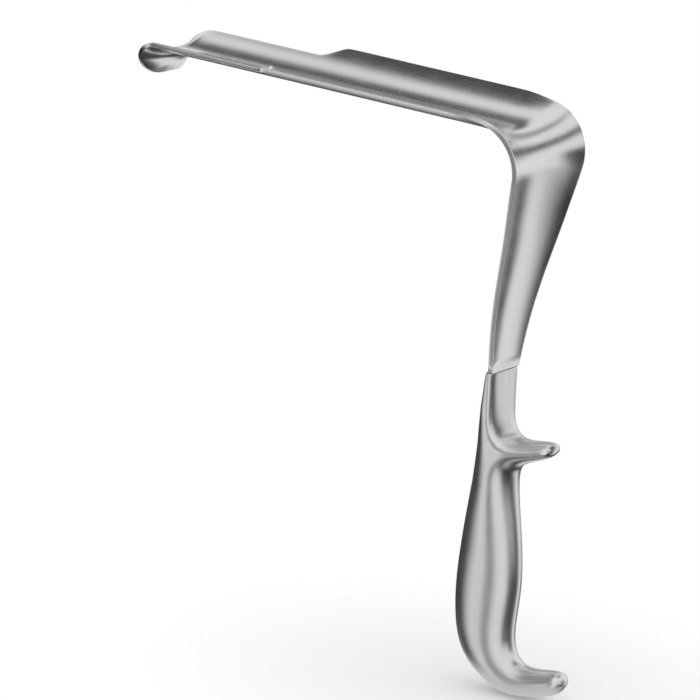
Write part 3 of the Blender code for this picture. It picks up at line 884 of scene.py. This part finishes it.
# Large dark cards round the retractor, out of the picture. Each has its azimuth from and to (0 is -Y, the
# front, and 90 is +X), its elevation from and to, the width of its soft edge, all in degrees, and its darkness
CARDS = [
    ("left_wall", -172.0, -64.0, -32.0, 2.0, 18.0, 0.96),
    ("left_floor", -112.0, -42.0, -66.0, -29.0, 16.0, 0.88),
    ("front_screen", -14.0, 14.0, -45.0, 25.0, 16.0, 0.72),
    ("front_left_flag", -62.0, -18.0, 4.0, 26.0, 7.0, 0.85),
    ("front_left_veil", -66.0, -20.0, 32.0, 58.0, 9.0, 0.72),
    ("left_veil", -92.0, -49.0, -60.0, 0.0, 24.0, 0.55),
    ("right_wall", 65.0, 112.0, -50.0, 0.0, 14.0, 0.97),
    ("rear_right_wall", 104.0, 132.0, -50.0, 13.0, 12.0, 0.95),
    ("rear_post", 165.0, 194.0, -42.0, -11.0, 11.0, 0.93),
    ("rear_low_strip", -160.0, -134.0, 15.0, 32.0, 8.0, 0.92),
    ("high_left_flag", -140.0, -58.0, 46.0, 72.0, 7.0, 0.94),
    ("floor_right", 55.0, 186.0, -90.0, -38.0, 14.0, 0.93),
    ("floor_front", -78.0, 55.0, -90.0, -46.0, 16.0, 0.9),
    ("floor_left", -174.0, -78.0, -90.0, -57.0, 12.0, 0.9),
]

# Dark ribs of the light tent near the bend: the directions from the bend that each one passes, its half width
# in degrees and how dark it is
BEND_MIDDLE = (0.006, 0.0, 0.176)
RIB_DISTANCE = 0.2
RIBS = [
    ("rib_low", [(190.0, -5.0), (179.0, 4.0), (153.5, 25.0), (123.0, 41.0), (100.0, 50.0)], 12.0, 0.85),
    ("rib_high", [(206.0, 0.0), (195.6, 13.0), (180.0, 42.0), (158.0, 67.0)], 11.0, 0.6),
]

# Small dark flags near the steel: middle, the point that they face, half width, half height and darkness
FLAGS = [
    ("flag_over_rest", (0.078, 0.045, 0.104), (0.006, -0.004, 0.055), 0.056, 0.064, 0.93),
    ("flag_before_stem", (-0.078, -0.142, 0.092), (0.0, -0.014, 0.12), 0.06, 0.048, 0.85),
]


def hang_card(name, rows, finish):
    """A card from rows of points and their cover; only reflections show it."""
    points = [spot for row in rows for spot, covered in row]
    cover = [float(covered) for row in rows for spot, covered in row]
    card = stage_piece(name, points, grid_faces(len(rows), len(rows[0])), "cover", cover, finish)
    card.visible_camera = False
    card.visible_diffuse = False
    card.visible_shadow = False


def round_card(name, rows, finish, distance, middle):
    """A card from rows of azimuth, elevation and cover, all at one distance from a middle."""
    spots = []
    for row in rows:
        spots.append([])
        for azimuth, elevation, covered in row:
            turn = math.radians(azimuth)
            rise = math.radians(max(min(elevation, STEEPEST), -STEEPEST))
            way = Vector((math.sin(turn) * math.cos(rise), -math.cos(turn) * math.cos(rise), math.sin(rise)))
            spots[-1].append((way * distance + Vector(middle), covered))
    hang_card(name, spots, finish)


def over_edge(low, soft, value):
    """0 below a soft edge and 1 above it."""
    return ease(low - soft / 2, low + soft / 2, value)


def soft_span(low, high, soft, value):
    """1 between low and high and 0 outside, with soft ends."""
    return over_edge(low, soft, value) * over_edge(-high, soft, -value)


def large_cards(finish):
    """The cards that stand far off, each over a field of azimuth and elevation."""
    for name, left, right, low, high, soft, dark in CARDS:
        rows = []
        for up in np.linspace(low - soft / 2, high + soft / 2, CARD_ROWS):
            lengthwise = over_edge(-high, soft, -up) if low <= STRAIGHT_DOWN else soft_span(low, high, soft, up)
            rows.append([(over, up, dark * lengthwise * soft_span(left, right, soft, over))
                         for over in np.linspace(left - soft / 2, right + soft / 2, CARD_COLUMNS)])
        round_card("card_" + name, rows, finish, CARD_DISTANCE, CARDS_MIDDLE)


def tent_ribs(finish):
    """The ribs near the bend, soft to both sides and at both ends."""
    for name, course, half, dark in RIBS:
        along = np.array(course)
        places = np.linspace(0.0, len(along) - 1.0, RIB_PLACES)
        line = np.column_stack([np.interp(places, np.arange(len(along)), along[:, axis]) for axis in (0, 1)])
        heading = np.gradient(line, axis=0)
        heading /= np.linalg.norm(heading, axis=1)[:, None]
        ends = ease(0.0, 0.5, places) * ease(0.0, 0.5, places[-1] - places)
        rows = []
        for spot, turn, end in zip(line, heading, ends):
            rows.append([(spot[0] - turn[1] * aside * half, spot[1] + turn[0] * aside * half,
                          dark * end * ease(1.0, 0.0, abs(aside)))
                         for aside in np.linspace(-1.0, 1.0, RIB_COLUMNS)])
        round_card(name, rows, finish, RIB_DISTANCE, BEND_MIDDLE)


def small_card(name, middle, across, upwards, soft_from, whole, finish):
    """A flat card round a middle, from its two half sides; its edge is soft from a share of them outwards."""
    steps = np.linspace(-1.0, 1.0, FLAG_STEPS)
    rows = [[(Vector(middle) + across * over + upwards * up,
              whole * ease(1.0, soft_from, abs(over)) * ease(1.0, soft_from, abs(up))) for over in steps]
            for up in steps]
    hang_card(name, rows, finish)


def close_flags(finish):
    """The small flags, each square to the line from its middle to the point that it faces."""
    for name, middle, faced, wide, high, dark in FLAGS:
        out = (Vector(faced) - Vector(middle)).normalized()
        aside = out.cross(Vector((0.0, 0.0, 1.0))).normalized()
        above = aside.cross(out)
        small_card(name, middle, aside * wide, above * high, FLAG_SOFT_FROM, dark, finish)


def set_cards():
    """Soft-edged cards that draw the bands on the steel, as a photographer of bright metal sets them."""
    dark = stage_finish("dark card", "cover", "ShaderNodeEmission", True, Color=WHITE, Strength=0.0)
    large_cards(dark)
    tent_ribs(dark)
    close_flags(dark)
    white = stage_finish("white card", "cover", "ShaderNodeEmission", True,
                         Color=WHITE, Strength=WHITE_CARD_LIGHT)
    small_card("white_card", WHITE_CARD_MIDDLE, Vector(WHITE_CARD_LONG), Vector(WHITE_CARD_WIDE),
               WHITE_SOFT_FROM, 1.0, white)


build_camera()
white_room()
build_floor()
set_cards()

blade_steel = satin_steel("satin blade steel", *SATIN_BLADE)
handle_steel = satin_steel("satin handle steel", *SATIN_HANDLE)
braze_metal = satin_steel("brazing metal", *BRAZING_METAL)

dress(build_blade(blade_steel), "blade_steel", "blade")
surface = rounded_mouth(*shell_surface())
dress(build_shell("handle_half_left", -1.0, surface, handle_steel), "handle_steel", "handle_shell_left")
dress(build_shell("handle_half_right", 1.0, surface, handle_steel), "handle_steel", "handle_shell_right")
dress(build_braze(surface, braze_metal), "braze_metal", "braze_ring")

bpy.context.scene.view_settings.view_transform = "Standard"
